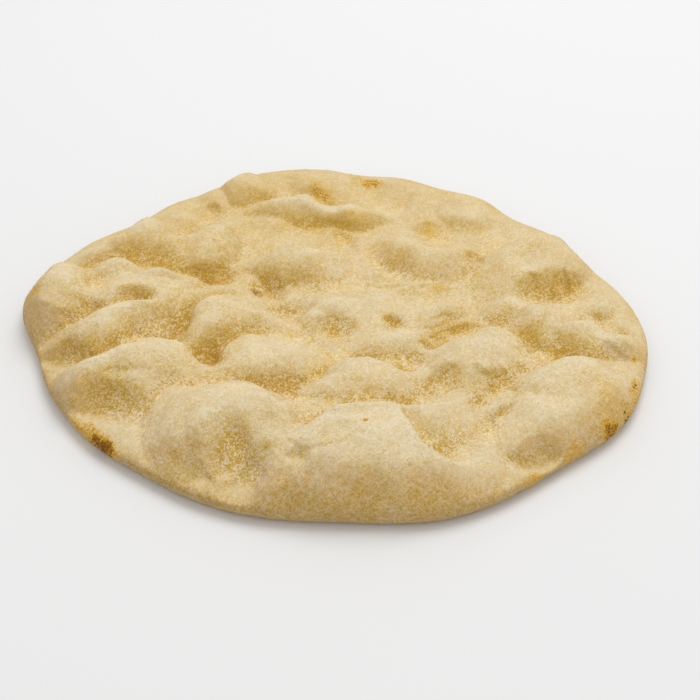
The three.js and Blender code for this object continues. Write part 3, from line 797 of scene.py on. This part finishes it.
# ---------------------------------------------------------------- materials
class Nodes:
    def __init__(self, name):
        self.mat = bpy.data.materials.new(name)
        self.mat.use_nodes = True
        self.tree = self.mat.node_tree
        self.tree.nodes.clear()

    def add(self, kind, **values):
        node = self.tree.nodes.new(kind)
        for k, v in values.items():
            setattr(node, k, v)
        return node

    def link(self, a, b):
        self.tree.links.new(a, b)

    def put(self, value, socket):
        if hasattr(value, "is_output"):
            self.link(value, socket)
        else:
            socket.default_value = value

    def math(self, op, a, b=0.0, clamp=False):
        node = self.add("ShaderNodeMath", operation=op, use_clamp=clamp)
        self.put(a, node.inputs[0])
        self.put(b, node.inputs[1])
        return node.outputs[0]

    def ramp(self, value, lo, hi, out_lo=0.0, out_hi=1.0):
        node = self.add("ShaderNodeMapRange", interpolation_type="SMOOTHSTEP")
        self.put(value, node.inputs["Value"])
        for k, v in (("From Min", lo), ("From Max", hi), ("To Min", out_lo), ("To Max", out_hi)):
            node.inputs[k].default_value = v
        return node.outputs["Result"]

    def mix(self, factor, a, b, blend="MIX"):
        node = self.add("ShaderNodeMix", data_type="RGBA", blend_type=blend)
        self.put(factor, node.inputs[0])
        self.put(a if hasattr(a, "is_output") else (*a, 1.0), node.inputs[6])
        self.put(b if hasattr(b, "is_output") else (*b, 1.0), node.inputs[7])
        return node.outputs[2]

    def attr(self, name):
        return self.add("ShaderNodeAttribute", attribute_name=name).outputs["Fac"]

    def noise(self, coords, scale, detail=2.0, rough=0.5):
        node = self.add("ShaderNodeTexNoise")
        node.inputs["Scale"].default_value = scale
        node.inputs["Detail"].default_value = detail
        node.inputs["Roughness"].default_value = rough
        self.link(coords, node.inputs["Vector"])
        return node.outputs["Fac"]

    def cells(self, coords, scale, feature="F1"):
        node = self.add("ShaderNodeTexVoronoi", feature=feature)
        node.inputs["Scale"].default_value = scale
        self.link(coords, node.inputs["Vector"])
        return node


CREAM = (0.800, 0.690, 0.472)
GOLD = (0.697, 0.487, 0.171)
DEEP = (0.560, 0.347, 0.042)
AMBER = (0.690, 0.388, 0.036)
BROWN = (0.340, 0.148, 0.006)
DARK = (0.150, 0.058, 0.004)
BLACK = (0.060, 0.034, 0.016)
UNDER = (0.620, 0.420, 0.170)


def dough_material():
    k = Nodes("baked_dough")
    coords = k.add("ShaderNodeTexCoord").outputs["Object"]
    flour_and_shade, low, toast, char, under = (k.attr(n) for n in ("flour_and_shade", "low", "toast", "char", "under"))
    sand = k.noise(coords, 1300.0, 2.0, 0.6)          # about 0.8 mm
    dust = k.noise(coords, 420.0, 3.0, 0.55)          # about 2.4 mm
    cloud = k.noise(coords, 75.0, 3.0, 0.5)           # about 13 mm
    grit = k.cells(coords, 1450.0)                    # grains of about 0.7 mm
    coarse = k.cells(coords, 800.0)                   # grains of about 1.25 mm
    tone = k.add("ShaderNodeSeparateColor")
    k.link(grit.outputs["Color"], tone.inputs[0])
    tone2 = k.add("ShaderNodeSeparateColor")
    k.link(coarse.outputs["Color"], tone2.inputs[0])

    def about(value, amount):
        return k.math("MULTIPLY", k.math("SUBTRACT", value, 0.5), amount)

    # grain by grain, from bare golden dough to pale flour, over a flour cover that also holds painted shade and a
    # painted highlight; the grains differ most in the hollows
    speck = k.math("ADD", about(tone.outputs[0], 0.95), about(tone2.outputs[0], 0.30))
    speck = k.math("ADD", speck, k.math("ADD", about(sand, 1.0), about(dust, 0.55)))
    spread = k.math("MULTIPLY", k.ramp(low, -0.30, 0.60, 0.74, 1.75), k.ramp(flour_and_shade, 0.15, 0.85, 1.30, 0.72))
    spread = k.math("MULTIPLY", spread, k.attr("grain"))
    cover_and_shade = k.math("ADD", flour_and_shade, k.math("MULTIPLY", speck, spread))
    lower = k.math("ADD", k.math("MULTIPLY", cover_and_shade, 1.5), 1.0, clamp=True)
    upper = k.math("MULTIPLY", cover_and_shade, 1.0, clamp=True)
    colour = k.mix(lower, DEEP, GOLD)
    colour = k.mix(upper, colour, CREAM)
    # painted shade and painted bounce light from the shade attribute, with random tone from the cloud noise and the
    # coarse grains
    shade = k.math("MULTIPLY", k.ramp(cloud, 0.25, 0.75, 0.955, 1.03), k.attr("shade"))
    shade = k.math("MULTIPLY", shade, k.ramp(tone2.outputs[1], 0.0, 1.0, 0.95, 1.05))
    tintn = k.add("ShaderNodeCombineColor")
    outer = k.attr("outer")  # the outer wall gets a painted light tint, a little less green and more blue
    k.link(shade, tintn.inputs[0])
    k.link(k.math("MULTIPLY", shade, k.ramp(outer, 0.0, 1.0, 1.0, 0.972)), tintn.inputs[1])
    k.link(k.math("MULTIPLY", shade, k.ramp(outer, 0.0, 1.0, 1.0, 1.06)), tintn.inputs[2])
    colour = k.mix(1.0, colour, tintn.outputs[0], "MULTIPLY")
    # underside: evenly baked, with toasted blotches
    blotch = k.ramp(k.noise(coords, 55.0, 4.0, 0.6), 0.50, 0.66)
    base = k.mix(blotch, UNDER, (0.420, 0.235, 0.075))
    base = k.mix(k.ramp(sand, 0.40, 0.70, 0.0, 0.5), base, (0.760, 0.610, 0.360))
    colour = k.mix(under, colour, base)
    # browning, grain by grain, and a few charred grains
    stir = k.math("ADD", about(tone.outputs[1], 0.80), k.math("ADD", about(tone2.outputs[2], 0.40), about(dust, 0.6)))
    fleck = k.math("ADD", toast, k.math("MULTIPLY", stir, k.ramp(toast, 0.02, 0.25)))
    colour = k.mix(k.ramp(fleck, 0.05, 0.60), colour, AMBER)
    colour = k.mix(k.ramp(fleck, 0.50, 1.05), colour, BROWN)
    colour = k.mix(k.ramp(fleck, 0.95, 1.55), colour, DARK)
    burn = k.math("MULTIPLY", k.ramp(tone2.outputs[1], 0.90, 0.93), k.ramp(char, 0.10, 0.30))
    colour = k.mix(burn, colour, BLACK)

    height = k.math("ADD", k.math("MULTIPLY", sand, 0.6), k.math("MULTIPLY", grit.outputs["Distance"], -0.5))
    height = k.math("ADD", height, k.math("MULTIPLY", dust, 0.6))
    bump = k.add("ShaderNodeBump")
    bump.inputs["Strength"].default_value = 0.55
    bump.inputs["Distance"].default_value = 0.00035
    k.link(height, bump.inputs["Height"])
    shader = k.add("ShaderNodeBsdfPrincipled")
    k.link(colour, shader.inputs["Base Color"])
    k.link(k.ramp(cover_and_shade, 0.0, 1.0, 0.72, 0.95), shader.inputs["Roughness"])
    shader.inputs["Specular IOR Level"].default_value = 0.22
    k.link(bump.outputs[0], shader.inputs["Normal"])
    out = k.add("ShaderNodeOutputMaterial")
    k.link(shader.outputs[0], out.inputs["Surface"])
    return k.mat


def grain_material():
    k = Nodes("semolina")
    coords = k.add("ShaderNodeTexCoord").outputs["Object"]
    tint, toast, flour_and_shade = k.attr("tint"), k.attr("toast"), k.attr("flour_and_shade")
    # the colour beneath the grain, painted shade and highlight included
    under = k.mix(k.ramp(flour_and_shade, 0.0, 1.0), GOLD, CREAM)
    own = k.mix(k.ramp(tint, 0.20, 0.80), (0.620, 0.390, 0.080), (0.860, 0.730, 0.490))
    colour = k.mix(0.48, under, own)
    grainy = k.noise(coords, 2600.0, 1.0, 0.5)
    colour = k.mix(k.ramp(grainy, 0.35, 0.75, 0.0, 0.35), colour, (0.740, 0.520, 0.230))
    colour = k.mix(k.ramp(toast, 0.05, 0.6, 0.0, 0.85), colour, (0.500, 0.260, 0.030))
    shader = k.add("ShaderNodeBsdfPrincipled")
    k.link(colour, shader.inputs["Base Color"])
    k.link(k.ramp(grainy, 0.2, 0.8, 0.6, 0.85), shader.inputs["Roughness"])
    shader.inputs["Specular IOR Level"].default_value = 0.3
    out = k.add("ShaderNodeOutputMaterial")
    k.link(shader.outputs[0], out.inputs["Surface"])
    return k.mat


crust.data.materials.append(dough_material())
grains.data.materials.append(grain_material())
for piece in (crust, grains):
    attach(piece, "root")
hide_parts("pinsa_crust")

# ---------------------------------------------------------------- floor, light, camera
bpy.ops.mesh.primitive_plane_add(size=8.0, location=(0, 0, 0))
floor = bpy.context.object
floor.name = "floor"
paper = bpy.data.materials.new("paper")
paper.use_nodes = True
sheet = paper.node_tree.nodes["Principled BSDF"]
sheet.inputs["Base Color"].default_value = (0.87, 0.87, 0.87, 1)
sheet.inputs["Roughness"].default_value = 1.0
sheet.inputs["Specular IOR Level"].default_value = 0.0
floor.data.materials.append(paper)

world = bpy.data.worlds.new("studio")
bpy.context.scene.world = world
world.use_nodes = True
world.node_tree.nodes["Background"].inputs["Color"].default_value = (1, 1, 1, 1)
world.node_tree.nodes["Background"].inputs["Strength"].default_value = 0.67


def lamp(name, place, size, energy, colour=(1, 1, 1)):
    data = bpy.data.lights.new(name, "AREA")
    data.shape, data.size, data.energy, data.color = "DISK", size, energy, colour
    obj = bpy.data.objects.new(name, data)
    obj.location = place
    obj.rotation_euler = (-Vector(place)).to_track_quat("-Z", "Y").to_euler()
    bpy.context.scene.collection.objects.link(obj)
    return obj


lamp("key", (0.28, 0.54, 1.48), 1.12, 10.4)

camera = bpy.data.objects.new("camera", bpy.data.cameras.new("camera"))
bpy.context.scene.collection.objects.link(camera)
camera.data.lens, camera.data.sensor_width = 72.0, 36.0
tilt = math.radians(40.0)
aim = Vector((0.00935, -0.02964, 0.012))
camera.location = aim + 0.645 * Vector((0.0, -math.cos(tilt), math.sin(tilt)))
camera.rotation_euler = (math.pi / 2 - tilt, 0.0, 0.0)
bpy.context.scene.camera = camera
bpy.context.scene.view_settings.view_transform = "Standard"
